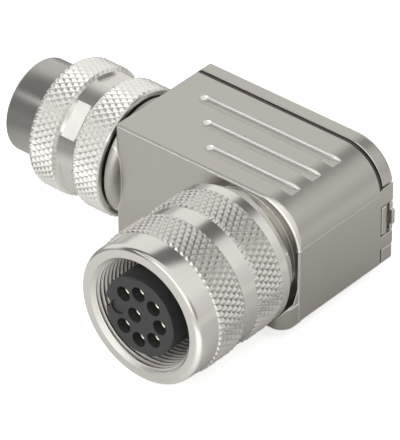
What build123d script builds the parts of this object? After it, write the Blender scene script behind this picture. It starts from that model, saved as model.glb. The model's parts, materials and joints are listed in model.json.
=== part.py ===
from build123d import *
from math import cos, sin, radians
import os

os.makedirs("parts", exist_ok=True)

# Field-attachable right-angle circular connector, eight sockets, in millimetres.
# The ring axis runs along Y, the cable axis along X, and all sizes count from their crossing.
# The mating face looks towards -Y and the cable leaves towards -X. The finished pieces are
# moved along Y at the end, so that the origin is the centre of the mating face.

# Angle housing
BOX_LEFT = -22.3
BOX_RIGHT = 8.9
BOX_HEIGHT = 17.3
BOX_FRONT = -6.8
BOX_REAR = 10.0
WALL = 1.5
CROWN_RADIUS = 5.95
HEEL_RADIUS = 0.35
SIDE_RADIUS = 0.75
EDGE_RADIUS = 0.35
CROWN_BEVEL = 0.34
CROWN_BEVEL_RADIUS = 6.84
CROWN_BEVEL_SHIFT = 1.09
CROWN_STEP = 0.06
OVERLAP = 0.5
OVERCUT = 1.0

# Grooves in the top face
GROOVE_WIDTH = 1.7
GROOVE_DEPTH = 0.45
GROOVE_PITCH = 4.15
GROOVE_MIDDLE_Y = 1.15
GROOVE_LONG_END = -18.0
GROOVE_STAGGER = 4.0
GROOVE_COUNT = 3

# Front boss and the lip below the coupling ring
BOSS_RADIUS = 8.1
BOSS_LENGTH = 6.6
LIP_DEPTH = 0.9
LIP_REACH = 3.0
LIP_HEIGHT = 3.0
LIP_WALL_HEIGHT = 6.6
LIP_WALL_INSET = 0.12
LIP_CORNER = 2.0
LIP_RING_GAP = 0.25

# Back cover, its shadow gap and its latch in the ear of the housing
COVER_THICKNESS = 2.2
SHADOW_GAP = 0.26
SEAT_INSET = 0.8
COVER_EDGE = 0.3
SPIGOT_DEPTH = 1.7
SPIGOT_WALL = 1.0
SLIDE_GAP = 0.1
EAR_ABOVE_SEAM = 0.55
EAR_FOOT = 2.45
EAR_GAP = 0.4
NOTCH_FOOT = 4.35
NOTCH_HEIGHT = 4.8
LATCH_GAP = 0.25
PRY_SLOT_WIDTH = 0.8
PRY_SLOT_DEPTH = 0.7
PRY_SLOT_FROM_REAR = 0.5
NOSE_HEIGHT = 2.2
NOSE_REACH = 0.35

# Cable neck
NECK_INSET = 0.35
NECK_START = -21.3
NECK_END = -22.95
NECK_ROUND = 1.5
NECK_BORE = 4.9
NECK_SEAT = -25.4
THREAD_RADIUS = 6.0
THREAD_PITCH = 1.0
THREAD_DEPTH = 0.4
THREAD_CREST = 0.2
THREAD_RUNOUT = 2.0
THREAD_LEAD = 0.3
THREAD_END = -32.6
CABLE_BORE = 4.2

# Clamp nut
NUT_START = -23.25
NUT_END = -41.85
NUT_PROUD = 0.63
NUT_KNURL_INNER_END = -28.2
NUT_WAIST_END = -31.2
NUT_KNURL_OUTER_END = -35.5
NUT_WAIST_STEP = 0.63
FLAT_COUNT = 6
FLAT_DEPTH = 0.4
FLAT_ANGLE = 43
COLLAR_RADIUS = 6.7
COLLAR_EDGE = 0.4
NUT_FLOOR = -37.0
MOUTH_RADIUS = 4.0
MOUTH_CHAMFER = 0.6
KNURL_CHAMFER = 0.35
RUNNING_GAP = 0.06

# Clamping stack in the neck
WASHER_THICKNESS = 0.6
WASHER_GAP = 0.2
CAGE_FINGERS = 8
CAGE_SLOT = 0.9
CAGE_SLOT_SHARE = 0.75
CAGE_TAIL = 1.6
CAGE_BORE = 4.4
CAGE_EDGE = 0.5
CAGE_GAP = 0.15
TAIL_GAP = 0.1
SEAL_BORE = 3.4
SEAL_LIP = 0.6
SHIELD_FLANGE = 0.7
SHIELD_TUBE = 1.8
SHIELD_WALL = 0.35
STACK_GAP = 0.05

# Coupling ring
RING_FRONT = -27.7
RING_REAR = -8.7
RING_RADIUS = 10.0
RING_KNURL_RADIUS = 10.25
RING_RIM_CHAMFER = 0.35
RING_BAND_1_START = -24.0
RING_BAND_1_END = -18.7
RING_BAND_2_START = -16.2
RING_BAND_2_END = -11.6
RING_WAIST_RADIUS = 9.85
RING_REAR_RADIUS = 9.3
RING_REAR_BEVEL = 1.5
RING_BEVEL_STEP = 0.1
RING_THREAD_MAJOR = 8.0
RING_THREAD_MINOR = 7.6
RING_ENTRY_RADIUS = 8.3
RING_THREAD_END = -18.3
RING_WEB_FRONT = -16.1
RING_WEB_REAR = -14.0
RING_CLEARANCE = 0.3
RING_FLOAT = 0.15

# Insert sleeve and insert
SLEEVE_RADIUS = 6.8
SLEEVE_FLANGE_RADIUS = 7.3
SLEEVE_FLANGE = 1.2
SLEEVE_REAR = -4.9
SLEEVE_BORE_REAR = 6.2
SEAL_RING_THICKNESS = 0.8
INSERT_RADIUS = 5.65
INSERT_PROUD = 0.2
INSERT_CHAMFER = 0.2
INSERT_FLANGE_FRONT = -14.2
INSERT_FLANGE = 1.6
KEY_RADIUS = 0.9
KEY_DEPTH = 6.0
RETAINER_THICKNESS = 1.8
CIRCLIP_THICKNESS = 0.8
CIRCLIP_WIDTH = 0.8
CIRCLIP_GROOVE = 0.35
CIRCLIP_GAP_ANGLE = 40
O_RING_HEIGHT = 0.7
O_RING_WIDTH = 1.0
O_RING_Y = -10.5

# Contacts
PITCH_RADIUS = 3.5
PITCH_ANGLE = 45
BLIND_POSITION = 4
CENTRE_OFFSET = -0.68
SOCKET_RADIUS = 1.07
SOCKET_RECESS = 1.3
DIMPLE_DEPTH = 0.25
CONTACT_RADIUS = 0.9
CONTACT_BORE = 0.52
CONTACT_BORE_DEPTH = 7.0
CONTACT_SLIT = 0.25
CONTACT_SLIT_DEPTH = 5.0
COLLAR_WIDTH = 0.9
CONTACT_COLLAR = 1.15
CUP_LENGTH = 4.6
CUP_BORE = 0.6
CUP_DEPTH = 3.0
CUP_OPEN_SHARE = 0.7
CUP_LIP = 0.25

top = BOX_HEIGHT / 2
cover_front = BOX_REAR + SHADOW_GAP
cover_rear = cover_front + COVER_THICKNESS
crown_seam = top - CROWN_RADIUS
side_right = BOX_RIGHT - CROWN_STEP
ear_inner = BOX_RIGHT - WALL
ear_bottom = EAR_FOOT - top
ear_top = crown_seam + EAR_ABOVE_SEAM
notch_bottom = NOTCH_FOOT - top
notch_top = notch_bottom + NOTCH_HEIGHT
neck_radius = top - NECK_INSET
nut_radius = top + NUT_PROUD
waist_radius = nut_radius - NUT_WAIST_STEP
insert_face = RING_FRONT - INSERT_PROUD
flange_front = RING_WEB_FRONT - RING_FLOAT - SLEEVE_FLANGE
retainer_front = INSERT_FLANGE_FRONT + INSERT_FLANGE
retainer_rear = retainer_front + RETAINER_THICKNESS
FAR = 60.0


def turned(points, axis):
    """A solid of revolution about X from (x, r) points or about Y from (r, y) points."""
    return revolve(make_face(Polyline(*points, close=True)), axis)


def along_x(radius, start, end):
    """A cylinder on the cable axis."""
    return Pos((start + end) / 2, 0, 0) * Rot(0, 90, 0) * Cylinder(radius, abs(end - start))


def along_y(radius, start, end, x=0.0, z=0.0):
    """A cylinder parallel to the ring axis."""
    return Pos(x, (start + end) / 2, z) * Rot(90, 0, 0) * Cylinder(radius, abs(end - start))


def block(x0, x1, y0, y1, z0, z1):
    """A box between two corners."""
    return Pos((x0 + x1) / 2, (y0 + y1) / 2, (z0 + z1) / 2) * Box(x1 - x0, y1 - y0, z1 - z0)


def slab(outline, y0, y1):
    """The XZ outline carried from y0 back to y1."""
    return extrude(Plane.XZ.offset(-y1) * outline, y1 - y0)


def box_outline(inset=0.0):
    """The side view of the housing, offset inwards, with its large crown radius."""
    left, right = BOX_LEFT + inset, BOX_RIGHT - inset
    high = top - inset
    sheet = Pos((left + right) / 2, 0) * Rectangle(right - left, 2 * high)
    for x, z, radius in (
        (right, high, CROWN_RADIUS),
        (right, -high, HEEL_RADIUS),
        (left, high, EDGE_RADIUS),
        (left, -high, EDGE_RADIUS),
    ):
        corner = sheet.vertices().sort_by_distance((x, z, 0))[0]
        sheet = fillet(corner, max(radius - inset, EDGE_RADIUS))
    return sheet


def contact_places():
    """The eight socket centres as (x, z): seven on the circle and one near the middle."""
    places = [
        (PITCH_RADIUS * cos(radians(k * PITCH_ANGLE)), PITCH_RADIUS * sin(radians(k * PITCH_ANGLE)))
        for k in range(360 // PITCH_ANGLE)
        if k != BLIND_POSITION
    ]
    return places + [(CENTRE_OFFSET, 0.0)]


# Angle housing
def top_grooves():
    """Three staggered grooves that run out into the crown radius."""
    cutters = []
    for k in range(GROOVE_COUNT):
        y = GROOVE_MIDDLE_Y + (1 - k) * GROOVE_PITCH
        end = GROOVE_LONG_END + k * GROOVE_STAGGER + GROOVE_WIDTH / 2
        half = GROOVE_WIDTH / 2
        floor = top - GROOVE_DEPTH
        cutters.append(block(end, BOX_RIGHT, y - half, y + half, floor, top + OVERCUT))
        cutters.append(Pos(end, y, floor + OVERCUT / 2) * Cylinder(half, OVERCUT))
    return cutters


def lip_block(right, height):
    """A block in front of the box, up to a height, with its front corners rounded."""
    front = BOX_FRONT - LIP_REACH
    lip = block(-BOX_RIGHT, right, front, BOX_FRONT + OVERLAP, -top, height - top)
    return fillet(lip.edges().filter_by(Axis.Z).group_by(Axis.Y)[0], LIP_CORNER)


def ring_lip():
    """The lip round the rear edge of the coupling ring, with a horn at each lower corner."""
    front = BOX_FRONT - LIP_REACH
    bevel = (RING_KNURL_RADIUS - RING_BEVEL_STEP - RING_REAR_RADIUS) / RING_REAR_BEVEL
    clear = RING_REAR_RADIUS + (RING_REAR - front) * bevel + LIP_RING_GAP
    lip = lip_block(side_right, LIP_HEIGHT)
    lip += lip_block(side_right - LIP_WALL_INSET, LIP_WALL_HEIGHT)
    swept = [
        (0, front - OVERCUT), (clear, front - OVERCUT), (clear, BOX_FRONT - LIP_DEPTH),
        (clear - LIP_DEPTH, BOX_FRONT), (0, BOX_FRONT),
    ]
    return lip - turned(swept, Axis.Y)


def storey(right, low, high):
    """The room of the box between two heights, with rounded upright edges in front."""
    length, depth = right - BOX_LEFT, BOX_REAR - BOX_FRONT
    plan = Pos((BOX_LEFT + right) / 2, (BOX_FRONT + BOX_REAR) / 2) * Rectangle(length, depth)
    plan = fillet(plan.vertices().group_by(Axis.Y)[0].sort_by(Axis.X)[0], SIDE_RADIUS)
    plan = fillet(plan.vertices().group_by(Axis.Y)[0].sort_by(Axis.X)[-1], EDGE_RADIUS)
    return extrude(Plane.XY.offset(low) * plan, high - low)


def crown_bevel():
    """The bevel along the top front edge and round the crown, down to the seam."""
    reach = CROWN_BEVEL + OVERCUT
    low, high = BOX_FRONT - OVERCUT, BOX_FRONT + reach
    above = top + OVERCUT
    straight = make_face(Polyline((low, top - reach), (high, above), (low, above), close=True))
    centre_x = BOX_RIGHT - CROWN_RADIUS
    start = BOX_LEFT - OVERCUT
    edge = extrude(Plane.YZ.offset(start) * straight, centre_x - start)
    r_in, r_out = CROWN_BEVEL_RADIUS - OVERCUT, CROWN_BEVEL_RADIUS + reach
    cone = turned([(r_in, low), (r_out, high), (r_out, low)], Axis.Y)
    shift = CROWN_BEVEL_SHIFT
    cone = Pos(centre_x - shift, 0, crown_seam - shift) * cone
    return [edge, cone & block(centre_x, FAR, -FAR, FAR, crown_seam, FAR)]


def angle_housing():
    """The die-cast housing: box with crown and seam, ear, lip, boss and cable neck."""
    rooms = storey(BOX_RIGHT, crown_seam, top) + storey(side_right, -top, crown_seam)
    body = slab(box_outline(), BOX_FRONT, BOX_REAR) & rooms
    for cutter in crown_bevel():
        body -= cutter
    body += block(ear_inner, side_right, BOX_REAR - OVERLAP, cover_rear, ear_bottom, ear_top)
    body += ring_lip()
    body += along_y(BOSS_RADIUS, BOX_FRONT - BOSS_LENGTH, BOX_FRONT + OVERLAP)
    neck = along_x(neck_radius, NECK_START, NECK_END)
    body += fillet(neck.edges().filter_by(GeomType.CIRCLE).sort_by(Axis.X)[-1], NECK_ROUND)
    body += thread_neck()
    body -= slab(box_outline(WALL), BOX_FRONT + WALL, BOX_REAR + OVERCUT)
    body -= along_y(SLEEVE_RADIUS + STACK_GAP, -FAR, BOX_FRONT + WALL + OVERCUT)
    groove_half = O_RING_WIDTH / 2 + STACK_GAP
    groove_radius = SLEEVE_RADIUS + O_RING_HEIGHT + STACK_GAP
    body -= along_y(groove_radius, O_RING_Y - groove_half, O_RING_Y + groove_half)
    body -= along_x(NECK_BORE, NECK_SEAT, -FAR)
    body -= along_x(CABLE_BORE, BOX_LEFT + WALL + OVERCUT, NECK_SEAT - OVERCUT)
    body -= block(ear_inner - OVERCUT, FAR, BOX_REAR, FAR, notch_bottom, notch_top)
    for cutter in top_grooves():
        body -= cutter
    return body


def thread_neck():
    """The male thread under the clamp nut, as rings at the thread's pitch."""
    root = THREAD_RADIUS - THREAD_DEPTH
    flank = (1 - THREAD_CREST) / 2 * THREAD_PITCH
    start = NECK_END + OVERLAP
    first = NECK_END - THREAD_RUNOUT
    points = [(start, 0), (start, root), (first, root)]
    for k in range(int((first - THREAD_END - THREAD_LEAD) / THREAD_PITCH)):
        x = first - k * THREAD_PITCH
        points += [
            (x - flank, THREAD_RADIUS),
            (x - THREAD_PITCH + flank, THREAD_RADIUS),
            (x - THREAD_PITCH, root),
        ]
    points += [(THREAD_END, root), (THREAD_END, 0)]
    return turned(points, Axis.X)


# Back cover
def back_cover():
    """The snap-in cover: rounded plate, seat, hollow spigot and latch."""
    plate = slab(box_outline(), cover_front, cover_rear)
    plate = fillet(plate.edges().group_by(Axis.Y)[-1], COVER_EDGE)
    plate += slab(box_outline(SEAT_INSET), BOX_REAR, cover_front)
    inset = WALL + SLIDE_GAP
    spigot = slab(box_outline(inset), BOX_REAR - SPIGOT_DEPTH, cover_front)
    plate += spigot - slab(box_outline(inset + SPIGOT_WALL), -FAR, BOX_REAR)
    clear = ear_inner - SLIDE_GAP
    plate -= block(clear, FAR, BOX_REAR, FAR, ear_bottom - SLIDE_GAP, ear_top + EAR_GAP)
    return plate + cover_latch(clear)


def cover_latch(inner):
    """The block of the cover that fills the notch of the ear, with a pry slot and a nose."""
    low, high = notch_bottom + LATCH_GAP, notch_top - LATCH_GAP
    latch = block(inner - OVERLAP, side_right, cover_front, cover_rear, low, high)
    slot_rear = cover_rear - PRY_SLOT_FROM_REAR
    slot_front = slot_rear - PRY_SLOT_WIDTH
    latch -= block(side_right - PRY_SLOT_DEPTH, FAR, slot_front, slot_rear, -FAR, FAR)
    middle = (low + high) / 2
    nose = block(
        side_right - PRY_SLOT_DEPTH, side_right + NOSE_REACH, slot_rear, cover_rear,
        middle - NOSE_HEIGHT / 2, middle + NOSE_HEIGHT / 2,
    )
    return latch + nose


# Clamp nut and the stack it presses
def clamp_nut():
    """The clamp nut: two knurled bands, a waist with wrench flats and a plain collar."""
    c = KNURL_CHAMFER
    nut = turned(
        [
            (NUT_START, 0), (NUT_START, nut_radius - c), (NUT_START - c, nut_radius),
            (NUT_KNURL_INNER_END, nut_radius), (NUT_KNURL_INNER_END, waist_radius),
            (NUT_WAIST_END, waist_radius), (NUT_WAIST_END, nut_radius),
            (NUT_KNURL_OUTER_END + c, nut_radius),
            (NUT_KNURL_OUTER_END, nut_radius - c), (NUT_KNURL_OUTER_END, 0),
        ],
        Axis.X,
    )
    flat = waist_radius - FLAT_DEPTH
    for k in range(FLAT_COUNT):
        milled = block(NUT_WAIST_END, NUT_KNURL_INNER_END, -FAR, -flat, -FAR, FAR)
        nut -= Rot(-FLAT_ANGLE - k * 360 / FLAT_COUNT, 0, 0) * milled
    collar = along_x(COLLAR_RADIUS, NUT_KNURL_OUTER_END + OVERLAP, NUT_END)
    nut += fillet(collar.edges().filter_by(GeomType.CIRCLE).sort_by(Axis.X)[0], COLLAR_EDGE)
    nut -= along_x(THREAD_RADIUS + RUNNING_GAP, FAR, NUT_FLOOR)
    nut -= along_x(MOUTH_RADIUS, FAR, -FAR)
    wide = MOUTH_RADIUS + MOUTH_CHAMFER
    mouth = [(NUT_END, 0), (NUT_END, wide), (NUT_END + wide, 0)]
    return nut - turned(mouth, Axis.X)


def thrust_washer():
    """The washer between the floor of the nut and the cage."""
    washer = along_x(THREAD_RADIUS - WASHER_GAP, NUT_FLOOR, NUT_FLOOR + WASHER_THICKNESS)
    return washer - along_x(CAGE_BORE, -FAR, FAR)


def clamp_cage():
    """A slotted plastic collar: its head sits in the nut and its tail presses the seal."""
    head_back = NUT_FLOOR + WASHER_THICKNESS
    shoulder = THREAD_END - CAGE_GAP
    tail_end = THREAD_END + CAGE_TAIL
    outer = THREAD_RADIUS - CAGE_GAP
    tail = NECK_BORE - TAIL_GAP
    body = turned(
        [
            (head_back, CAGE_BORE), (head_back, outer - CAGE_EDGE), (head_back + CAGE_EDGE, outer),
            (shoulder, outer), (shoulder, tail), (tail_end, tail), (tail_end, CAGE_BORE),
        ],
        Axis.X,
    )
    slot_end = head_back + (shoulder - head_back) * CAGE_SLOT_SHARE
    slot = block(-FAR, slot_end, -CAGE_SLOT / 2, CAGE_SLOT / 2, 0, FAR)
    for k in range(CAGE_FINGERS):
        body -= Rot(360 / CAGE_FINGERS * k, 0, 0) * slot
    return body


def cable_seal():
    """The rubber seal, a ring with a waisted bore that closes on the cable."""
    start = THREAD_END + CAGE_TAIL
    end = NECK_SEAT - SHIELD_FLANGE
    outer = NECK_BORE - STACK_GAP
    wide = SEAL_BORE + SEAL_LIP
    return turned(
        [
            (start, wide), (start, outer), (end, outer), (end, wide),
            (end - SEAL_LIP, SEAL_BORE), (start + SEAL_LIP, SEAL_BORE),
        ],
        Axis.X,
    )


def shield_ring():
    """The flanged metal ring that the cable screen is folded over."""
    start = NECK_SEAT - SHIELD_FLANGE
    outer = NECK_BORE - STACK_GAP
    inner = SEAL_BORE
    return turned(
        [
            (start, inner), (start, outer), (NECK_SEAT, outer), (NECK_SEAT, inner + SHIELD_WALL),
            (NECK_SEAT + SHIELD_TUBE, inner + SHIELD_WALL), (NECK_SEAT + SHIELD_TUBE, inner),
        ],
        Axis.X,
    )


# Coupling ring
def coupling_ring():
    """The turned coupling ring, with a plain bore at the minor diameter of its thread."""
    c = KNURL_CHAMFER
    points = [
        (RING_ENTRY_RADIUS, RING_FRONT),
        (RING_RADIUS - RING_RIM_CHAMFER, RING_FRONT),
        (RING_RADIUS, RING_FRONT + RING_RIM_CHAMFER),
        (RING_RADIUS, RING_BAND_1_START),
        (RING_KNURL_RADIUS, RING_BAND_1_START + c),
        (RING_KNURL_RADIUS, RING_BAND_1_END - c),
        (RING_WAIST_RADIUS, RING_BAND_1_END),
        (RING_WAIST_RADIUS, RING_BAND_2_START),
        (RING_KNURL_RADIUS, RING_BAND_2_START + c),
        (RING_KNURL_RADIUS, RING_BAND_2_END),
        (RING_KNURL_RADIUS - RING_BEVEL_STEP, RING_REAR - RING_REAR_BEVEL),
        (RING_REAR_RADIUS, RING_REAR),
        (BOSS_RADIUS + RING_CLEARANCE, RING_REAR),
        (BOSS_RADIUS + RING_CLEARANCE, RING_WEB_REAR),
        (SLEEVE_RADIUS + RUNNING_GAP, RING_WEB_REAR),
        (SLEEVE_RADIUS + RUNNING_GAP, RING_WEB_FRONT),
        (RING_THREAD_MAJOR, RING_WEB_FRONT),
        (RING_THREAD_MAJOR, RING_THREAD_END),
        (RING_THREAD_MINOR, RING_THREAD_END),
        (RING_THREAD_MINOR, RING_FRONT + RING_ENTRY_RADIUS - RING_THREAD_MINOR),
    ]
    return turned(points, Axis.Y)


# Insert sleeve, insert and what holds it
def insert_sleeve():
    """The metal sleeve that carries the insert and keeps the coupling ring on the boss."""
    bore = INSERT_RADIUS + STACK_GAP
    groove = SLEEVE_BORE_REAR + CIRCLIP_GROOVE
    points = [
        (bore, flange_front), (SLEEVE_FLANGE_RADIUS, flange_front),
        (SLEEVE_FLANGE_RADIUS, flange_front + SLEEVE_FLANGE),
        (SLEEVE_RADIUS, flange_front + SLEEVE_FLANGE),
        (SLEEVE_RADIUS, SLEEVE_REAR), (SLEEVE_BORE_REAR, SLEEVE_REAR),
        (SLEEVE_BORE_REAR, retainer_rear + CIRCLIP_THICKNESS),
        (groove, retainer_rear + CIRCLIP_THICKNESS), (groove, retainer_rear),
        (SLEEVE_BORE_REAR, retainer_rear), (SLEEVE_BORE_REAR, INSERT_FLANGE_FRONT),
        (bore, INSERT_FLANGE_FRONT),
    ]
    return turned(points, Axis.Y)


def mating_seal():
    """The flat rubber ring at the foot of the gap that takes the other half's shell."""
    seal = along_y(SLEEVE_FLANGE_RADIUS, flange_front - SEAL_RING_THICKNESS, flange_front)
    return seal - along_y(INSERT_RADIUS + STACK_GAP, -FAR, FAR)


def sleeve_seal():
    """The O-ring in the groove of the boss, closed on the sleeve."""
    outer = SLEEVE_RADIUS + O_RING_HEIGHT
    half = O_RING_WIDTH / 2
    return along_y(outer, O_RING_Y - half, O_RING_Y + half) - along_y(SLEEVE_RADIUS, -FAR, FAR)


def insert_body():
    """The insulating insert: flange, key groove, blind dimple and stepped contact holes."""
    body = along_y(INSERT_RADIUS, insert_face, INSERT_FLANGE_FRONT)
    face_edge = body.edges().filter_by(GeomType.CIRCLE).sort_by(Axis.Y)[0]
    body = chamfer(face_edge, INSERT_CHAMFER)
    body += along_y(SLEEVE_BORE_REAR - STACK_GAP, INSERT_FLANGE_FRONT, retainer_front)
    body -= along_y(KEY_RADIUS, -FAR, insert_face + KEY_DEPTH, -INSERT_RADIUS)
    body -= along_y(SOCKET_RADIUS, -FAR, insert_face + DIMPLE_DEPTH, -PITCH_RADIUS)
    for x, z in contact_places():
        body -= along_y(SOCKET_RADIUS, -FAR, insert_face + SOCKET_RECESS, x, z)
        body -= along_y(CONTACT_RADIUS, -FAR, FAR, x, z)
        body -= along_y(CONTACT_COLLAR, retainer_front - COLLAR_WIDTH, FAR, x, z)
    return body


def contact_retainer():
    """The disc behind the insert that traps the collars of the contacts."""
    disc = along_y(SLEEVE_BORE_REAR - STACK_GAP, retainer_front, retainer_rear)
    for x, z in contact_places():
        disc -= along_y(CONTACT_RADIUS, -FAR, FAR, x, z)
    return disc


def insert_circlip():
    """The open ring in the sleeve's groove behind the retainer."""
    inner = SLEEVE_BORE_REAR - CIRCLIP_WIDTH
    rear = retainer_rear + CIRCLIP_THICKNESS
    clip = along_y(SLEEVE_BORE_REAR + CIRCLIP_GROOVE, retainer_rear, rear) - along_y(inner, -FAR, FAR)
    half = inner * sin(radians(CIRCLIP_GAP_ANGLE / 2))
    return clip - block(-half, half, -FAR, FAR, 0, FAR)


def contact(x, z):
    """One turned contact: slit socket in front, collar, and an open solder cup behind."""
    front = insert_face + SOCKET_RECESS
    rear = retainer_rear + CUP_LENGTH
    body = along_y(CONTACT_RADIUS, front, rear)
    body += along_y(CONTACT_COLLAR, retainer_front - COLLAR_WIDTH, retainer_front)
    body -= along_y(CONTACT_BORE, -FAR, front + CONTACT_BORE_DEPTH)
    slit = CONTACT_SLIT / 2
    body -= block(-FAR, FAR, -FAR, front + CONTACT_SLIT_DEPTH, -slit, slit)
    body -= along_y(CUP_BORE, rear - CUP_DEPTH, FAR)
    body -= block(-FAR, FAR, rear - CUP_DEPTH * CUP_OPEN_SHARE, FAR, CUP_LIP, FAR)
    return Pos(x, 0, z) * body


nodes = {
    "angle_housing": angle_housing(),
    "back_cover": back_cover(),
    "coupling_ring": coupling_ring(),
    "insert_sleeve": insert_sleeve(),
    "mating_seal": mating_seal(),
    "sleeve_seal": sleeve_seal(),
    "insert_body": insert_body(),
    "contact_retainer": contact_retainer(),
    "insert_circlip": insert_circlip(),
    "clamp_nut": clamp_nut(),
    "thrust_washer": thrust_washer(),
    "clamp_cage": clamp_cage(),
    "cable_seal": cable_seal(),
    "shield_ring": shield_ring(),
}
for number, place in enumerate(contact_places(), start=1):
    nodes[f"contact_{number}"] = contact(*place)

mating_face = Pos(0, -RING_FRONT, 0)
for name, shape in nodes.items():
    export_step(mating_face * shape, f"parts/{name}.step")
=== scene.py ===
"""Looks of the right-angle circular connector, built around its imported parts."""
import json
import math

import bpy
from mathutils import Matrix, Vector


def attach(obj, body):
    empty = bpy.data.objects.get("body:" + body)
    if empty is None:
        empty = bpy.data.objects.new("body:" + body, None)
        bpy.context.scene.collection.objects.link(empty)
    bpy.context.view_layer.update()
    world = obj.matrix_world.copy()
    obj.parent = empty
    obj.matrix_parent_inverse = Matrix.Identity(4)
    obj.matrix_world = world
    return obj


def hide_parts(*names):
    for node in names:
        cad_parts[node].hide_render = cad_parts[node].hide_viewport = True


# One millimetre in the frame's metres. Lengths are in millimetres where no other unit is named.
MM = 0.001

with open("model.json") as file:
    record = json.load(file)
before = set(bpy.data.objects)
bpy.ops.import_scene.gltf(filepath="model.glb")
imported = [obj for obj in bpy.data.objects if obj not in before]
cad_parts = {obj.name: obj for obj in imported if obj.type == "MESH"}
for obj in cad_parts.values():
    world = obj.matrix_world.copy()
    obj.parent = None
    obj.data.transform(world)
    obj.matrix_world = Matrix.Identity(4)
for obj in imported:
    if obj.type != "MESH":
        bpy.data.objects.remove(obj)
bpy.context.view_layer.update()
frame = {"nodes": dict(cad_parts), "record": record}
nodes = frame["nodes"]
scene = bpy.context.scene

# Camera, solved from the photograph. The ring's axis and the cable's axis cross at CROSSING, which
# lies at DISTANCE from the camera and shows at CROSSING_PIXEL. CROSSING, DISTANCE and the places where
# the view starts and ends are in metres.
CROSSING_Y = 27.7
CROSSING = Vector((0, CROSSING_Y, 0)) * MM
CROSSING_PIXEL = (279.5, 219.6)
AZIMUTH = math.radians(40.46)
ELEVATION = math.radians(35.27)
ROLL = math.radians(-0.19)
DISTANCE = 669 * MM
PIXELS_PER_METRE = 7720
IMAGE_WIDTH, IMAGE_HEIGHT = 400, 440
SENSOR = 36
CLIP_START, CLIP_END = 0.05, 20

# Coupling ring: radii and places along its axis, counted from the crossing. The knurling has STARTS
# diamonds round the ring and FREQUENCY diamonds in a millimetre along it.
RING_FRONT, RING_REAR = -27.7, -8.7
RING_BAND = 10.0
RING_CREST = 10.25
RING_WAIST = 9.85
RING_STRIP = 10.15
RING_REAR_RADIUS = 9.3
RING_RIM_ROUND = 0.7
RING_BANDS = ((-24.0, -18.7), (-16.2, -11.6))
RING_RUNS = ((0.24, 0.35), (0.39, 0.35))
RING_FALL, FALL_STEPS = 0.08, 8
RING_BEVEL_START = -10.2
RING_STARTS, RING_FREQUENCY = 68, 0.61
BOSS_BORE = 8.4
SLEEVE_BORE = 6.86
WEB = (-16.1, -14.0)
ENTRY_RADIUS = 8.3

# Its coupling thread: corners of one turn, as shares of the pitch and radii
THREAD_MAJOR, THREAD_MINOR, THREAD_PITCH = 8.0, 7.7, 0.75
THREAD_END = -18.3
THREAD_CORNERS = (
    (0.0, THREAD_MINOR),
    (0.22, THREAD_MINOR),
    (0.5, THREAD_MAJOR),
    (0.72, THREAD_MAJOR),
    (1.0, THREAD_MINOR),
)

# Clamp nut: radii and places along the cable axis, counted from the crossing, and the angle of the
# middle of one wrench flat in degrees
NUT_START, NUT_END = -23.25, -41.85
NUT_BANDS = ((-35.5, -31.2), (-28.2, -23.6))
NUT_CREST = 9.28
NUT_WAIST = 8.65
NUT_FLAT = 8.25
NUT_STARTS, NUT_FREQUENCY = 60, 0.66
FLAT_COUNT, FLAT_ANGLE = 6, 43
FLAT_RUN = 0.4
FLAT_STEPS, ARC_STEPS = 12, 8
WAIST_RUN, STEEP_RUN, EDGE_RUN = 0.6, 0.28, 0.35
NUT_EDGE_FALL, NUT_EDGE_STEP, NUT_EDGE_RUN = 0.35, 0.05, 0.12
COLLAR_RADIUS, COLLAR_ROUND = 6.7, 0.4
NUT_BORE, NUT_FLOOR = 6.06, -37.0
MOUTH_RADIUS, MOUTH_CHAMFER = 4.0, 0.6

# Knurling: depth of its cuts, and for the corners of a diamond's side the share of the diamond's width
# from its edge and the share of the depth there
KNURL_DEPTH = 0.28
KNURL_STEPS = ((0.0, 0.0), (0.34, 0.88), (0.42, 1.0))

# Socket contacts: radii of their mouths, and steps round a mouth and across its round rim
CONTACT_RADIUS, CONTACT_BORE = 0.9, 0.52
RIM_STEPS, RIM_ARC = 24, 6

# Parting ridge on the housing's right face, and the bead on that face's front edge
RIDGE_X, RIDGE_Z = 8.9, 2.7
RIDGE_SPAN = (-6.2, 9.6)
RIDGE_HALF, RIDGE_PROUD, RIDGE_SINK, RIDGE_TAPER = 0.13, 0.08, 0.1, 3
BEAD_PLACE, BEAD_SPAN = (8.66, -6.52), (-2.2, 2.5)
BEAD_RADIUS, BEAD_KNOB = 0.2, 0.42
BEAD_STEPS, BEAD_SEGMENTS = 9, 32

# Grooves in the housing's top, which run out through its crown: places of their middle lines and of the
# centres of their round left ends, and the section of their sloping sides, as shares of their height.
# The lift keeps the sloping sides clear of the faces below them.
CROWN_X, CROWN_Z, CROWN_RADIUS = 2.89, 2.7, 5.95
GROOVE_WIDTH, GROOVE_FLOOR, GROOVE_LIFT = 1.7, 8.2, 0.004
GROOVE_COUNT, GROOVE_PITCH, GROOVE_MIDDLE = 3, 4.15, 1.15
GROOVE_LONG_END, GROOVE_STAGGER = -18.0, 4.0
GROOVES = [
    (GROOVE_MIDDLE + GROOVE_PITCH * (1 - k), GROOVE_LONG_END + GROOVE_WIDTH / 2 + GROOVE_STAGGER * k)
    for k in range(GROOVE_COUNT)
]
GROOVE_SECTION = ((0.0, 1.0), (0.33, 0.56), (0.64, 0.27), (1.0, 0.0))
GROOVE_TURN = 16
TOP_START, TOP_STEP, TOP_STATIONS = -17, 0.5, 40
CROWN_STEP, CROWN_STATIONS = 0.25, 10

# Meshes: steps of a full turn and of a rounded edge, smallest sizes (TIE in metres, for corners that
# are merged), and turns that stay sharp
SEGMENTS = 192
ROUND_STEPS = 9
TIE = 2e-7
TOUCH, LEAST_WALL = 1e-9, 1e-4
SHARP, NUT_SHARP = math.radians(28), math.radians(13)

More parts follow.
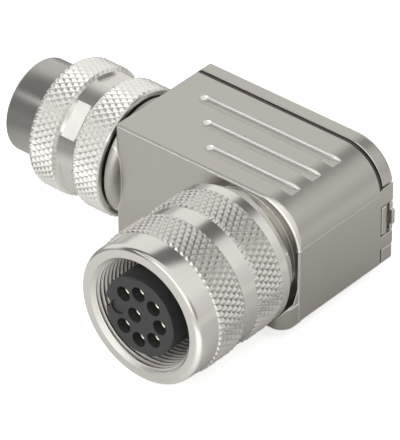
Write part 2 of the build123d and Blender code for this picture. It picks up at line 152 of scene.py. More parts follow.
# Materials: slow changes of tone and polish, fine grain, and samples of the nodes that trace rays
SOFT_SCALE, SOFT_DETAIL = 260, 4
FINE_DETAIL, GRAIN_DEPTH = 3, 0.02
ROUGHNESS_SPREAD = 0.05
RAY_SAMPLES = 8

# Painted shade, in the recess behind the ring's right side and along the cover's gap: axis, place in the
# frame where each limit sets in and where it is full, shares and tone
RECESS_LIMITS = (("X", 1.0, 4.5), ("Y", 20.98, 20.93), ("Z", 6.5, 1.5), ("Z", -2.0, 0.0))
SEAM_LIMITS = (("Y", 37.24, 37.36), ("Y", 38.02, 37.94), ("Z", 3.1, 3.3))
RECESS_SHARE = 0.62
PAINTED_SHADE_SHARE = 0.97
PAINTED_SHADE_TONE = 0.13

# Edges: height and half-height of the groove walls, their rounding, limits of the painted highlight on the
# lip's edge, cosines of the normal's turn between which the brighter edge tone, part wear and part painted
# highlight, sets in, its share and its tone
GROOVE_WALL = (8.42, 0.21)
GROOVE_ROUND = 0.45
LIP_HIGHLIGHT_LIMITS = (("Y", 20.93, 20.98), ("Y", 21.17, 21.03))
EDGE_WEAR_AND_HIGHLIGHT_TURN = (0.995, 0.9)
EDGE_WEAR_AND_HIGHLIGHT_SHARE = 0.85
WEAR_AND_HIGHLIGHT_COLOR = (0.95, 0.93, 0.89)

# Painted shade in gaps: shares of open space between which the tone falls, and the tone painted in a closed
# gap
GAP_SHADE = (0.15, 0.62)
PAINTED_GAP_TONE = 0.6

# Looks of the parts and pieces
LOOKS = {
    # color, metallic, roughness, grain, grain scale, change of tone, and for cast metal edge and the gap
    # width of painted shade
    "cast_nickel": ((0.585, 0.565, 0.525), 1.0, 0.34, 0.15, 2600, 0.02, 0.22, 1.3),
    "cast_cover": ((0.585, 0.565, 0.525), 1.0, 0.34, 0.15, 2600, 0.02, 0.35, 0.8),
    # A brighter copy of the cast nickel, which paints the highlights on the parting ridge and the groove
    # slopes
    "rubbed_nickel": ((0.85, 0.83, 0.79), 1.0, 0.3, 0.1, 3000, 0.02),
    "turned_nickel": ((0.80, 0.785, 0.745), 1.0, 0.17, 0.06, 6000, 0.02),
    "knurled_nickel": ((0.73, 0.715, 0.68), 1.0, 0.26, 0.1, 5000, 0.03),
    # A brighter copy of the knurled nickel, which paints the highlights on the nut's knurling
    "bright_knurl": ((0.96, 0.94, 0.91), 1.0, 0.3, 0.1, 5000, 0.03),
    "waist_nickel": ((0.78, 0.765, 0.725), 1.0, 0.25, 0.06, 6000, 0.02),
    "collar_nickel": ((0.50, 0.49, 0.465), 1.0, 0.28, 0.1, 4000, 0.03),
    "thread_nickel": ((0.80, 0.785, 0.745), 1.0, 0.42, 0.1, 4000, 0.03),
    "spring_steel": ((0.35, 0.35, 0.36), 1.0, 0.35, 0.1, 4000, 0.04),
    "black_plastic": ((0.032, 0.034, 0.034), 0.0, 0.42, 0.3, 3000, 0.08),
    "grey_plastic": ((0.08, 0.083, 0.086), 0.0, 0.45, 0.3, 3000, 0.08),
    "contact_gold": ((0.78, 0.56, 0.26), 1.0, 0.22, 0.05, 5000, 0.03),
    # A paler copy of the contact gold on the contacts' rims, which paints their glints
    "contact_glint": ((0.9, 0.84, 0.68), 1.0, 0.2, 0.05, 5000, 0.03),
    "seal_rubber": ((0.016, 0.016, 0.016), 0.0, 0.55, 0.3, 3000, 0.1),
}

# Room that the metal reflects
WORLD_COLOR = (1, 0.995, 0.975, 1)
WORLD_LEVEL = 0.88
WORLD_LOBES = (
    # direction, inner and outer half-angle in degrees, brightness
    ((0.8, 0.6, -0.1), 10, 34, 0.72),
    ((-0.78, 0.62, 0.03), 4, 14, 0.5),
    ((0.5, -0.76, 0.35), 12, 30, 1.35),
    ((-0.53, -0.6, 0.56), 15, 26, 0.2),
    ((0.985, 0.03, 0.1), 12, 32, 0.33),
)
# Dark gap between the room's two pale sides: normal of its plane, half-widths in degrees, brightness
ROOM_GAP_NORMAL = (-0.7056, 0.527, -0.473)
ROOM_GAP_INNER, ROOM_GAP_OUTER = 8, 12.5
ROOM_GAP_LEVEL = 0.15

# Floor, a square whose size is in metres
FLOOR_LEVEL = -10.3
FLOOR_SIZE = 3.0
FLOOR_COLOR = (0.8, 0.8, 0.788)
FLOOR_ROUGHNESS = 0.9
FLOOR_GLOW = 0.7
# In reflections the floor falls off to a darker color towards the left, between these places along X
FLOOR_FALL = (-42, -56)
FLOOR_DIM = (0.34, 0.34, 0.34)
# In reflections it is in shade at the right: place, fade-out distances, share there and far off
SHADE_PLACE = (28, 28)
SHADE_FADE = (14, 42)
SHADE_SHARE = (0.42, 0.08)
# In reflections it gleams in front of the ring's right side: place, fade-out distances, level
GLEAM_PLACE = (28, -16)
GLEAM_FADE = (12, 30)
GLEAM_LEVEL = 0.6

# Lamps, all at one distance from the crossing. Distance and sizes are in metres.
LAMP_DISTANCE = 1.0
LAMPS = {
    # direction, size, radiance, whether the metal reflects it
    "key": ((-0.4, -0.66, 0.64), (0.4, 0.4), 6.6, False),
    "softbox": ((-0.53, -0.62, 0.58), (0.22, 0.16), 1.9, True),
    "strip": ((-0.05, -0.74, 0.64), (0.8, 0.08), 3.0, True),
}


# Places
def on_ring(radius, angle, along):
    """A point round the ring's axis: the angle runs from +X to +Z, along is towards +Y."""
    return from_crossing(radius * math.cos(angle), along, radius * math.sin(angle))


def on_nut(radius, angle, along):
    """A point round the cable axis: the angle runs from -Y to +Z, along is towards +X."""
    return from_crossing(along, -radius * math.cos(angle), radius * math.sin(angle))


def on_bead(radius, angle, along):
    """A point round the upright bead's axis, along is towards +Z."""
    x, y = BEAD_PLACE
    return from_crossing(x + radius * math.cos(angle), y + radius * math.sin(angle), along)


def from_crossing(x, y, z):
    """The point that lies at these millimetres from the crossing."""
    return x * MM, (y + CROSSING_Y) * MM, z * MM


# Mesh building
class Builder:
    """Collects faces with their looks, and merges the corners that fall together within one part."""

    def __init__(self, place, look):
        self.place, self.look, self.part = place, look, 0
        self.points, self.index, self.faces, self.looks = [], {}, [], []

    def corner(self, *where):
        point = self.place(*where)
        key = (self.part, *(round(c / TIE) for c in point))
        if key not in self.index:
            self.index[key] = len(self.points)
            self.points.append(point)
        return self.index[key]

    def face(self, corners, look=None):
        ids = [self.corner(*c) for c in corners]
        ids = [v for n, v in enumerate(ids) if v != ids[n - 1]]
        if len(set(ids)) == len(ids) and len(ids) > 2:
            self.faces.append(ids)
            self.looks.append(look or self.look)

    def lathe(self, profile, look=None, angles=None):
        """Faces between neighbours of the (radius, along) profile; a radius may follow the angle."""
        self.part += 1
        if angles is None:
            angles = full_turn(SEGMENTS)

        def at(point, angle):
            radius = point[0](angle) if callable(point[0]) else point[0]
            return radius, angle, point[1]

        for low, high in zip(profile, profile[1:]):
            for a, b in zip(angles, angles[1:]):
                self.face([at(low, a), at(low, b), at(high, b), at(high, a)], look)

    def object(self, name, sharp=SHARP):
        """The finished object, with one material for each look in the order of first use."""
        used = list(dict.fromkeys(self.looks))
        mesh = bpy.data.meshes.new(name)
        mesh.from_pydata(self.points, [], self.faces)
        mesh.polygons.foreach_set("material_index", [used.index(look) for look in self.looks])
        mesh.validate()
        mesh.update()
        for look in used:
            mesh.materials.append(finishes[look])
        mesh.shade_smooth()
        mesh.set_sharp_from_angle(angle=sharp)
        obj = bpy.data.objects.new(name, mesh)
        scene.collection.objects.link(obj)
        return obj


def full_turn(steps):
    """The angles of a full turn, with the first one again at the end."""
    return [math.tau * k / steps for k in range(steps + 1)]


def cell(first, second):
    """The four corners of one cell of a grid, which is named by its first corner."""
    return (first, second), (first + 1, second), (first + 1, second + 1), (first, second + 1)


def round_edge(radius_from, along_from, radius_to, along_to):
    """Profile points of a quarter round between two places."""
    points = []
    for k in range(ROUND_STEPS + 1):
        turn = math.pi / 2 * k / ROUND_STEPS
        radius = radius_from + (radius_to - radius_from) * math.sin(turn)
        points.append((radius, along_from + (along_to - along_from) * (1 - math.cos(turn))))
    return points


# Knurling: p and q count its two families of cuts, which cross each other
def clip(polygon, value, keep_above):
    """The part of a convex (p, q, along) polygon on one side of a value of along."""
    out = []
    for n, here in enumerate(polygon):
        before = polygon[n - 1]
        inside_before = before[2] >= value if keep_above else before[2] <= value
        inside_here = here[2] >= value if keep_above else here[2] <= value
        if inside_before != inside_here:
            share = (value - before[2]) / (here[2] - before[2])
            out.append(tuple(before[k] + share * (here[k] - before[k]) for k in range(2)) + (value,))
        if inside_here:
            out.append(here)
    return out


def knurl(builder, span, crest, starts, frequency, feet, runs, look):
    """A band of diamond knurling: truncated pyramids, cut off and chamfered at both ends.

    The feet are the radii next to the band at its two ends, the runs are the lengths of its chamfers.
    """
    low, high = span
    builder.part += 1

    def height(p, q):
        """The radius of the uncut knurling."""
        side = min(abs(p - round(p)), abs(q - round(q)))
        for (side_a, share_a), (side_b, share_b) in zip(KNURL_STEPS, KNURL_STEPS[1:]):
            if side <= side_b:
                share = share_a + (share_b - share_a) * (side - side_a) / (side_b - side_a)
                return crest - KNURL_DEPTH * (1 - share)
        return crest

    def limit(along):
        """The radius that the chamfers leave."""
        at_low = feet[0] + (crest - feet[0]) * (along - low) / runs[0]
        at_high = feet[1] + (crest - feet[1]) * (high - along) / runs[1]
        return min(at_low, at_high, crest)

    def corner(p, q, along):
        return min(height(p, q), limit(along)), math.pi * (p + q) / starts, along

    cuts = [low, low + runs[0], high - runs[1], high]
    ends = ((low, feet[0]), (high, feet[1]))
    rows = range(math.floor(2 * frequency * low) - 1, math.ceil(2 * frequency * high) + 1)
    for row in rows:
        for turn in range(starts):
            for facet in pyramid(turn + (row + 1) // 2, turn - row // 2):
                flat = [(p, q, (p - q) / (2 * frequency)) for p, q in facet]
                for start, end in zip(cuts, cuts[1:]):
                    part = clip(clip(flat, start, True), end, False)
                    if len(part) > 2:
                        builder.face([corner(*v) for v in part], look)
                        close_ends(builder, part, corner, ends, look)


def pyramid(i, j):
    """The facets of one knurl pyramid, in the units of its two families of cuts."""
    rings = []
    for inset, _ in KNURL_STEPS:
        low_p, high_p = i + inset, i + 1 - inset
        low_q, high_q = j + inset, j + 1 - inset
        rings.append([(low_p, low_q), (high_p, low_q), (high_p, high_q), (low_p, high_q)])
    sides = [
        [outer[n], outer[(n + 1) % 4], inner[(n + 1) % 4], inner[n]]
        for outer, inner in zip(rings, rings[1:]) for n in range(4)
    ]
    return sides + [rings[-1]]


def close_ends(builder, part, corner, ends, look):
    """Walls between the cut grooves at an end of a band and the surface next to it."""
    for n, here in enumerate(part):
        before = part[n - 1]
        for end, foot in ends:
            if abs(here[2] - end) < TOUCH and abs(before[2] - end) < TOUCH:
                first, second = corner(*before), corner(*here)
                if foot - min(first[0], second[0]) > LEAST_WALL:
                    builder.face([first, second, (foot, second[1], end), (foot, first[1], end)], look)


# Shader nodes
def add_node(tree, kind, inputs=None, **settings):
    """A new shader node; an input is linked where it is given a socket, and set otherwise."""
    node = tree.nodes.new("ShaderNode" + kind)
    for key, value in settings.items():
        setattr(node, key, value)
    for key, value in (inputs or {}).items():
        if isinstance(value, bpy.types.NodeSocket):
            tree.links.new(value, node.inputs[key])
        else:
            node.inputs[key].default_value = value
    return node


def combine(tree, operation, *values):
    """The result of a math operation on numbers or sockets."""
    return add_node(tree, "Math", dict(enumerate(values)), operation=operation).outputs[0]


def measure(tree, operation, first, second):
    """The number that an operation on two vectors gives."""
    node = add_node(tree, "VectorMath", {0: first, 1: second}, operation=operation)
    return node.outputs["Value"]


def ramp(tree, value, limits, levels=(0, 1), kind="SMOOTHSTEP"):
    """The value mapped from between the limits to between the levels."""
    places = {"From Min": limits[0], "From Max": limits[1], "To Min": levels[0], "To Max": levels[1]}
    return add_node(tree, "MapRange", {"Value": value, **places}, interpolation_type=kind).outputs["Result"]


def mix(tree, share, first, second):
    """The first number at share 0 and the second one at share 1."""
    return add_node(tree, "Mix", {0: share, 2: first, 3: second}, data_type="FLOAT").outputs[0]


def mix_color(tree, share, first, second):
    """The first color at share 0 and the second one at share 1."""
    return add_node(tree, "Mix", {0: share, 6: first, 7: second}, data_type="RGBA").outputs[2]


def shaded(color, share=1):
    """The color times a share, with the opaque fourth value that shader nodes take."""
    return (*[c * share for c in color], 1)


def zone(tree, place, limits):
    """One inside all of the limits, each given as an axis, where it sets in and where it is full."""
    split = add_node(tree, "SeparateXYZ", {0: place})
    ramps = [ramp(tree, split.outputs[axis], (start * MM, end * MM)) for axis, start, end in limits]
    inside = ramps[0]
    for other in ramps[1:]:
        inside = combine(tree, "MULTIPLY", inside, other)
    return inside


# Materials
def make_material(name, color, metallic, roughness, grain, grain_scale, tint, edge=0, gap=0):
    """A material with fine grain, slight changes of tone and uneven polish.

    In millimetres, edge is the radius by which sharp edges look rounded, and gap is the width up to
    which gaps get painted shade.
    """
    material = bpy.data.materials.new(name)
    material.use_nodes = True
    tree = material.node_tree
    place = add_node(tree, "TexCoord").outputs["Object"]
    soft = add_node(tree, "TexNoise", {"Vector": place, "Scale": SOFT_SCALE, "Detail": SOFT_DETAIL})
    fine = add_node(tree, "TexNoise", {"Vector": place, "Scale": grain_scale, "Detail": FINE_DETAIL})
    bump = add_node(tree, "Bump", {
        "Strength": grain, "Distance": GRAIN_DEPTH * MM, "Height": fine.outputs["Fac"],
    })
    change = soft.outputs["Fac"]
    tone = mix_color(tree, change, shaded(color, 1 - tint), shaded(color, 1 + tint))
    # Painted shade in narrow gaps
    if gap:
        tone = painted_gap_shade(tree, tone, color, gap)
    if edge:
        # Edges look rounded and get a brighter tone, part wear and part painted highlight
        normal = rounded_normal(tree, place, edge)
        tree.links.new(normal, bump.inputs["Normal"])
        # Painted shade in the recess behind the ring and along the cover's seam
        tone = painted_shade(tree, wear_and_painted_highlight(tree, tone, place, normal), place, color)
    polish = (roughness - ROUGHNESS_SPREAD, roughness + ROUGHNESS_SPREAD)
    shader = tree.nodes["Principled BSDF"]
    shader.inputs["Metallic"].default_value = metallic
    tree.links.new(tone, shader.inputs["Base Color"])
    tree.links.new(ramp(tree, change, (0, 1), polish, "LINEAR"), shader.inputs["Roughness"])
    tree.links.new(bump.outputs["Normal"], shader.inputs["Normal"])
    return material


def painted_gap_shade(tree, tone, color, gap):
    """Painted shade: a darker tone where little open space is left within a short distance."""
    space = add_node(tree, "AmbientOcclusion", {"Distance": gap * MM}, samples=RAY_SAMPLES)
    share = ramp(tree, space.outputs["AO"], GAP_SHADE, kind="LINEAR")
    return mix_color(tree, share, shaded(color, PAINTED_GAP_TONE), tone)


def rounded_normal(tree, place, edge):
    """The normal with sharp edges rounded; the groove walls are rounder."""
    height = add_node(tree, "SeparateXYZ", {0: place}).outputs["Z"]
    wall = combine(tree, "COMPARE", height, *[v * MM for v in GROOVE_WALL])
    radius = ramp(tree, wall, (0, 1), (edge * MM, GROOVE_ROUND * MM), "LINEAR")
    return add_node(tree, "Bevel", {"Radius": radius}, samples=RAY_SAMPLES).outputs["Normal"]


def wear_and_painted_highlight(tree, tone, place, normal):
    """A brighter tone on rounded edges, part rubbed metal and part painted highlight, and a painted
    highlight on the edge of the lip.
    """
    facing = add_node(tree, "NewGeometry").outputs["Normal"]
    edge_wear_and_highlight = ramp(tree, measure(tree, "DOT_PRODUCT", normal, facing), EDGE_WEAR_AND_HIGHLIGHT_TURN, (0, EDGE_WEAR_AND_HIGHLIGHT_SHARE), "LINEAR")
    share = combine(tree, "MAXIMUM", edge_wear_and_highlight, zone(tree, place, LIP_HIGHLIGHT_LIMITS))
    return mix_color(tree, share, tone, shaded(WEAR_AND_HIGHLIGHT_COLOR))


def painted_shade(tree, tone, place, color):
    """Painted shade: a dark tone in the recess behind the ring's right side and along the cover's shadow
    gap.
    """
    recess = combine(tree, "MULTIPLY", zone(tree, place, RECESS_LIMITS), RECESS_SHARE)
    both = combine(tree, "MAXIMUM", recess, zone(tree, place, SEAM_LIMITS))
    share = combine(tree, "MULTIPLY", both, PAINTED_SHADE_SHARE)
    return mix_color(tree, share, tone, shaded(color, PAINTED_SHADE_TONE))


# Pieces
def coupling_ring():
    """The ring with its rounded rim, two knurled bands, bevelled rear and bore."""
    ring = Builder(on_ring, "turned_nickel")
    front_band, rear_band = RING_BANDS
    rim = RING_BAND - RING_FALL
    shoulder = RING_FRONT + RING_RIM_ROUND
    outside = round_edge(rim - RING_RIM_ROUND, RING_FRONT, rim, shoulder)
    for k in range(1, FALL_STEPS + 1):
        share = k / FALL_STEPS
        radius = RING_BAND - RING_FALL * (1 - share) ** 2
        outside.append((radius, shoulder + (front_band[0] - shoulder) * share))
    ring.lathe([(ENTRY_RADIUS, RING_FRONT)] + outside)
    knurl(
        ring, front_band, RING_CREST, RING_STARTS, RING_FREQUENCY,
        (RING_BAND, RING_WAIST), RING_RUNS[0], "knurled_nickel",
    )
    ring.lathe([(RING_WAIST, front_band[1]), (RING_WAIST, rear_band[0])])
    knurl(
        ring, rear_band, RING_CREST, RING_STARTS, RING_FREQUENCY,
        (RING_WAIST, RING_STRIP), RING_RUNS[1], "knurled_nickel",
    )
    ring.lathe([
        (RING_STRIP, rear_band[1]), (RING_STRIP, RING_BEVEL_START), (RING_REAR_RADIUS, RING_REAR),
        (BOSS_BORE, RING_REAR), (BOSS_BORE, WEB[1]), (SLEEVE_BORE, WEB[1]), (SLEEVE_BORE, WEB[0]),
        (THREAD_MAJOR, WEB[0]), (THREAD_MAJOR, THREAD_END),
    ])
    thread(ring)
    return ring.object("coupling_ring_shell")


def thread(ring):
    """The right-handed coupling thread, from the entry chamfer to the run-out groove."""
    ring.part += 1
    turns = math.ceil((THREAD_END - RING_FRONT) / THREAD_PITCH) + 2

    def corner(step, part):
        share, radius = THREAD_CORNERS[part]
        along = RING_FRONT + THREAD_PITCH * (step / SEGMENTS - 1 + share)
        along = min(max(along, RING_FRONT), THREAD_END)
        entry = ENTRY_RADIUS - (along - RING_FRONT)
        if along >= THREAD_END:
            radius = THREAD_MAJOR
        return max(radius, entry), math.tau * step / SEGMENTS, along

    for step in range(turns * SEGMENTS):
        for part in range(len(THREAD_CORNERS) - 1):
            ring.face([corner(*place) for place in cell(step, part)], "thread_nickel")


def flat_middles():
    """The angles of the middles of the nut's wrench flats."""
    return [math.radians(FLAT_ANGLE) + math.tau * k / FLAT_COUNT for k in range(FLAT_COUNT)]


def nut_waist(angle):
    """The waist's radius: arcs of one radius with a wrench flat across each of its places."""
    for middle in flat_middles():
        off = (angle - middle + math.pi) % math.tau - math.pi
        if abs(off) < math.pi / FLAT_COUNT:
            return min(NUT_WAIST, NUT_FLAT / math.cos(off))
    return NUT_WAIST


def waist_angles():
    """The angles of a full turn with a station at both ends of each flat."""
    half = math.acos(NUT_FLAT / NUT_WAIST)
    arc = math.tau / FLAT_COUNT - 2 * half
    angles = []
    for middle in flat_middles():
        angles += [middle - half + 2 * half * k / FLAT_STEPS for k in range(FLAT_STEPS + 1)]
        angles += [middle + half + arc * k / ARC_STEPS for k in range(1, ARC_STEPS)]
    angles.sort()
    return angles + [angles[0] + math.tau]


def clamp_nut():
    """The nut with two knurled bands, six wrench flats between them, its collar and its bore."""
    nut = Builder(on_nut, "waist_nickel")
    outer, inner = NUT_BANDS
    edge = NUT_CREST - KNURL_DEPTH
    nut.lathe([
        (NUT_BORE, NUT_START), (edge - NUT_EDGE_FALL, NUT_START),
        (edge - NUT_EDGE_STEP, NUT_START - NUT_EDGE_RUN), (edge, inner[1]),
    ])
    knurl(
        nut, inner, NUT_CREST, NUT_STARTS, NUT_FREQUENCY,
        (NUT_WAIST, edge), (WAIST_RUN, EDGE_RUN), "bright_knurl",
    )
    waist = [
        (NUT_WAIST, inner[0]), (nut_waist, inner[0] - FLAT_RUN),
        (nut_waist, outer[1] + FLAT_RUN), (NUT_WAIST, outer[1]),
    ]
    for pair in zip(waist, waist[1:]):
        nut.lathe(pair, angles=waist_angles())
    knurl(
        nut, outer, NUT_CREST, NUT_STARTS, NUT_FREQUENCY,
        (edge, NUT_WAIST), (EDGE_RUN, STEEP_RUN), "bright_knurl",
    )
    nut.lathe([(edge, outer[0]), (COLLAR_RADIUS, outer[0])])
    collar = round_edge(COLLAR_RADIUS - COLLAR_ROUND, NUT_END, COLLAR_RADIUS, NUT_END + COLLAR_ROUND)
    bore = [
        (MOUTH_RADIUS + MOUTH_CHAMFER, NUT_END), (MOUTH_RADIUS, NUT_END + MOUTH_CHAMFER),
        (MOUTH_RADIUS, NUT_FLOOR), (NUT_BORE, NUT_FLOOR), (NUT_BORE, NUT_START),
    ]
    nut.lathe([(COLLAR_RADIUS, outer[0])] + collar[::-1] + bore, "collar_nickel")
    return nut.object("clamp_nut_shell", NUT_SHARP)


def contact_rims():
    """The rounded mouths of the socket contacts, at the bottom of their holes."""
    rims = Builder(lambda x, y, z: (x, y, z), "contact_glint")
    middle = (CONTACT_RADIUS + CONTACT_BORE) / 2
    small = (CONTACT_RADIUS - CONTACT_BORE) / 2
    for name, node in nodes.items():
        if not name.startswith("contact_") or name == "contact_retainer":
            continue
        corners = [node.matrix_world @ Vector(c) for c in node.bound_box]
        xs, ys, zs = [[c[k] for c in corners] for k in range(3)]
        x, y, z = (min(xs) + max(xs)) / 2, min(ys), (min(zs) + max(zs)) / 2

        def corner(step, arc):
            turn, tube = math.tau * step / RIM_STEPS, math.pi * arc / RIM_ARC
            radius = (middle + small * math.cos(tube)) * MM
            front = y - small * math.sin(tube) * MM
            return x + radius * math.cos(turn), front, z + radius * math.sin(turn)

        rims.part += 1
        for step in range(RIM_STEPS):
            for arc in range(RIM_ARC):
                rims.face([corner(*place) for place in cell(step, arc)])
    return rims.object("contact_rims")


def parting_ridge():
    """The fine parting ridge on the right face, between its crown and its lower storey."""
    # Its look is brighter than the cast housing, a painted highlight along the ridge
    ridge = Builder(from_crossing, "rubbed_nickel")
    front, rear = RIDGE_SPAN
    foot, crest = RIDGE_X - RIDGE_SINK, RIDGE_X + RIDGE_PROUD
    tip = RIDGE_HALF / RIDGE_TAPER
    section = [
        (foot, RIDGE_Z + RIDGE_HALF), (crest, RIDGE_Z + tip),
        (crest, RIDGE_Z - tip), (foot, RIDGE_Z - RIDGE_HALF),
    ]
    for n, (x, z) in enumerate(section):
        last_x, last_z = section[n - 1]
        ridge.face([(x, front, z), (x, rear, z), (last_x, rear, last_z), (last_x, front, last_z)])
    ridge.face([(x, front, z) for x, z in section])
    ridge.face([(x, rear, z) for x, z in section[::-1]])
    return ridge.object("parting_ridge")


def corner_bead():
    """The upright bead on the right face's front edge, with a round knob on top by the parting ridge."""
    low, high = BEAD_SPAN
    # The bead has the turned look, brighter than the cast housing, which paints its highlight and the glint
    # on its knob
    bead = Builder(on_bead, "turned_nickel")
    foot_turns = [math.pi / 2 * k / BEAD_STEPS for k in range(BEAD_STEPS + 1)]
    neck = -math.acos(BEAD_RADIUS / BEAD_KNOB)
    knob_turns = [neck + (math.pi / 2 - neck) * k / (2 * BEAD_STEPS) for k in range(2 * BEAD_STEPS + 1)]
    foot = [(BEAD_RADIUS * math.sin(a), low - BEAD_RADIUS * math.cos(a)) for a in foot_turns]
    knob = [(BEAD_KNOB * math.cos(a), high + BEAD_KNOB * math.sin(a)) for a in knob_turns]
    bead.lathe(foot + knob, angles=full_turn(BEAD_SEGMENTS))
    return bead.object("corner_bead")


def groove_path(end):
    """Places along both walls of a groove and round its end, with the direction away from its middle."""
    half = GROOVE_WIDTH / 2
    stations = [TOP_START + TOP_STEP * k for k in range(TOP_STATIONS)]
    stations += [CROWN_X + CROWN_STEP * k for k in range(CROWN_STATIONS)]
    wall = [(x, half, 0, 1) for x in stations[::-1] if x > end]
    turns = [math.pi / 2 + math.pi * k / GROOVE_TURN for k in range(GROOVE_TURN + 1)]
    bend = [(end + half * math.cos(a), half * math.sin(a), math.cos(a), math.sin(a)) for a in turns]
    return wall + bend + [(x, -off, out_x, -out_y) for x, off, out_x, out_y in wall[::-1]]


def groove_slopes():
    """The sloping sides of the grooves in the housing's top, along their walls and left ends."""
    # Their look is brighter than the cast housing, a painted highlight on the slopes
    slopes = Builder(from_crossing, "rubbed_nickel")

    def line(x, y, out_x, out_y):
        """The slope's section at one place, from the top face down to the groove's floor."""
        run = max(0, x - CROWN_X)
        height = max(0, CROWN_Z + math.sqrt(CROWN_RADIUS ** 2 - run ** 2) - GROOVE_FLOOR)
        return [
            (
                x - out_x * inward * height,
                y - out_y * inward * height,
                GROOVE_FLOOR + up * height + GROOVE_LIFT,
            )
            for inward, up in GROOVE_SECTION
        ]

    for y, end in GROOVES:
        lines = [line(x, y + off, out_x, out_y) for x, off, out_x, out_y in groove_path(end)]
        for here, after in zip(lines, lines[1:]):
            for n in range(len(GROOVE_SECTION) - 1):
                slopes.face([here[n], here[n + 1], after[n + 1], after[n]])
    return slopes.object("groove_slopes")


# Camera, light and floor
def add_camera():
    """The photograph's camera, shifted so that the crossing lies at its pixel."""
    flat = Vector((math.sin(AZIMUTH), -math.cos(AZIMUTH), 0))
    back = flat * math.cos(ELEVATION) + Vector((0, 0, math.sin(ELEVATION)))
    right = Vector((math.cos(AZIMUTH), math.sin(AZIMUTH), 0))
    right = Matrix.Rotation(ROLL, 3, back) @ right
    up = back.cross(right)
    across = (CROSSING_PIXEL[0] - IMAGE_WIDTH / 2) / PIXELS_PER_METRE
    above = (IMAGE_HEIGHT / 2 - CROSSING_PIXEL[1]) / PIXELS_PER_METRE
    data = bpy.data.cameras.new("camera")
    data.sensor_width = SENSOR
    data.lens = SENSOR * PIXELS_PER_METRE * DISTANCE / IMAGE_HEIGHT
    data.clip_start, data.clip_end = CLIP_START, CLIP_END
    camera = bpy.data.objects.new("camera", data)
    scene.collection.objects.link(camera)
    place = CROSSING + back * DISTANCE - right * across - up * above
    axes = Matrix((right, up, back)).transposed()
    camera.matrix_world = Matrix.Translation(place) @ axes.to_4x4()
    scene.camera = camera


def add_lamp(name, direction, size, radiance, mirrored):
    """An area lamp that faces the object."""
    data = bpy.data.lights.new(name, "AREA")
    data.shape = "RECTANGLE"
    data.size, data.size_y = size
    data.energy = radiance * size[0] * size[1] * math.pi
    lamp = bpy.data.objects.new(name, data)
    scene.collection.objects.link(lamp)
    direction = Vector(direction).normalized()
    lamp.location = CROSSING + direction * LAMP_DISTANCE
    lamp.rotation_euler = direction.to_track_quat("Z", "Y").to_euler()
    lamp.visible_camera = False
    lamp.visible_glossy = mirrored


def add_world():
    """A pale room for the metal to reflect; the camera sees plain white."""
    world = bpy.data.worlds.new("studio")
    scene.world = world
    world.use_nodes = True
    tree = world.node_tree
    towards = add_node(tree, "TexCoord").outputs["Generated"]
    level = WORLD_LEVEL
    for direction, inner, outer, brightness in WORLD_LOBES:
        turn = measure(tree, "DOT_PRODUCT", towards, Vector(direction).normalized())
        limits = [math.cos(math.radians(angle)) for angle in (outer, inner)]
        level = mix(tree, ramp(tree, turn, limits), level, brightness)
    turn = measure(tree, "DOT_PRODUCT", towards, Vector(ROOM_GAP_NORMAL).normalized())
    limits = [math.sin(math.radians(angle)) for angle in (ROOM_GAP_OUTER, ROOM_GAP_INNER)]
    level = mix(tree, ramp(tree, combine(tree, "ABSOLUTE", turn), limits), level, ROOM_GAP_LEVEL)
    seen = add_node(tree, "LightPath").outputs["Is Camera Ray"]
    back = tree.nodes["Background"]
    back.inputs["Color"].default_value = WORLD_COLOR
    tree.links.new(mix(tree, seen, level, 1.0), back.inputs["Strength"])


def floor_spot(tree, place, middle, fade, levels):
    """A round spot on the floor, with its level inside the first distance and beyond the second."""
    away = measure(tree, "DISTANCE", place, Vector((*middle, FLOOR_LEVEL)) * MM)
    return ramp(tree, away, [distance * MM for distance in fade], levels)


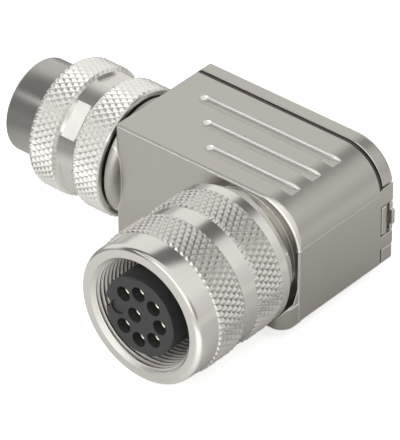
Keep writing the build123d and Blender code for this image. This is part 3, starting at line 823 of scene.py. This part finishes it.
def floor_material():
    """Close to white for the camera, with a dim side, a shade and a gleam in reflections."""
    material = bpy.data.materials.new("floor")
    material.use_nodes = True
    tree = material.node_tree
    place = add_node(tree, "TexCoord").outputs["Object"]
    seen = add_node(tree, "LightPath").outputs
    camera, mirror = seen["Is Camera Ray"], seen["Is Glossy Ray"]
    across = add_node(tree, "SeparateXYZ", {0: place}).outputs["X"]
    fall = ramp(tree, across, [limit * MM for limit in FLOOR_FALL], kind="LINEAR")
    shade = floor_spot(tree, place, SHADE_PLACE, SHADE_FADE, SHADE_SHARE)
    share = combine(tree, "MULTIPLY", combine(tree, "MAXIMUM", fall, shade), mirror)
    gleam = floor_spot(tree, place, GLEAM_PLACE, GLEAM_FADE, (GLEAM_LEVEL, 0))
    white = combine(tree, "MULTIPLY", camera, FLOOR_GLOW)
    strength = combine(tree, "MULTIPLY_ADD", gleam, mirror, white)
    glow = add_node(tree, "Emission", {"Strength": strength})
    shader = tree.nodes["Principled BSDF"]
    shader.inputs["Roughness"].default_value = FLOOR_ROUGHNESS
    shader.inputs["Specular IOR Level"].default_value = 0.0
    color = mix_color(tree, share, shaded(FLOOR_COLOR), shaded(FLOOR_DIM))
    tree.links.new(color, shader.inputs["Base Color"])
    both = add_node(tree, "AddShader", {0: shader.outputs[0], 1: glow.outputs[0]})
    tree.links.new(both.outputs[0], tree.nodes["Material Output"].inputs["Surface"])
    return material


def add_floor():
    """A pale floor under the object, which keeps the object's shadow."""
    half, z = FLOOR_SIZE / 2, FLOOR_LEVEL * MM
    mesh = bpy.data.meshes.new("floor")
    corners = [(-half, -half, z), (half, -half, z), (half, half, z), (-half, half, z)]
    mesh.from_pydata(corners, [], [(0, 1, 2, 3)])
    mesh.materials.append(floor_material())
    floor = bpy.data.objects.new("floor", mesh)
    scene.collection.objects.link(floor)


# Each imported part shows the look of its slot, apart from the cover, whose cast edges are rounder
finishes = {name: make_material(name, *values) for name, values in LOOKS.items()}
for row in frame["record"]["subparts"]:
    shown = nodes[row["node"]].data.materials
    shown.clear()
    shown.append(finishes["cast_cover" if row["node"] == "back_cover" else row["material_slot"]])

# Pieces added to the housing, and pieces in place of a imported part
for piece, slot in (
    (contact_rims(), "contact_gold"),
    (parting_ridge(), "cast_nickel"),
    (groove_slopes(), "cast_nickel"),
    (corner_bead(), "cast_nickel"),
):
    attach(piece, "housing")
for piece, node, body in (
    (coupling_ring(), "coupling_ring", "coupling_ring"),
    (clamp_nut(), "clamp_nut", "clamp_nut"),
):
    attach(piece, body)
    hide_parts(node)

add_camera()
scene.view_settings.view_transform = "Standard"
add_world()
add_floor()
for name, values in LAMPS.items():
    add_lamp(name, *values)
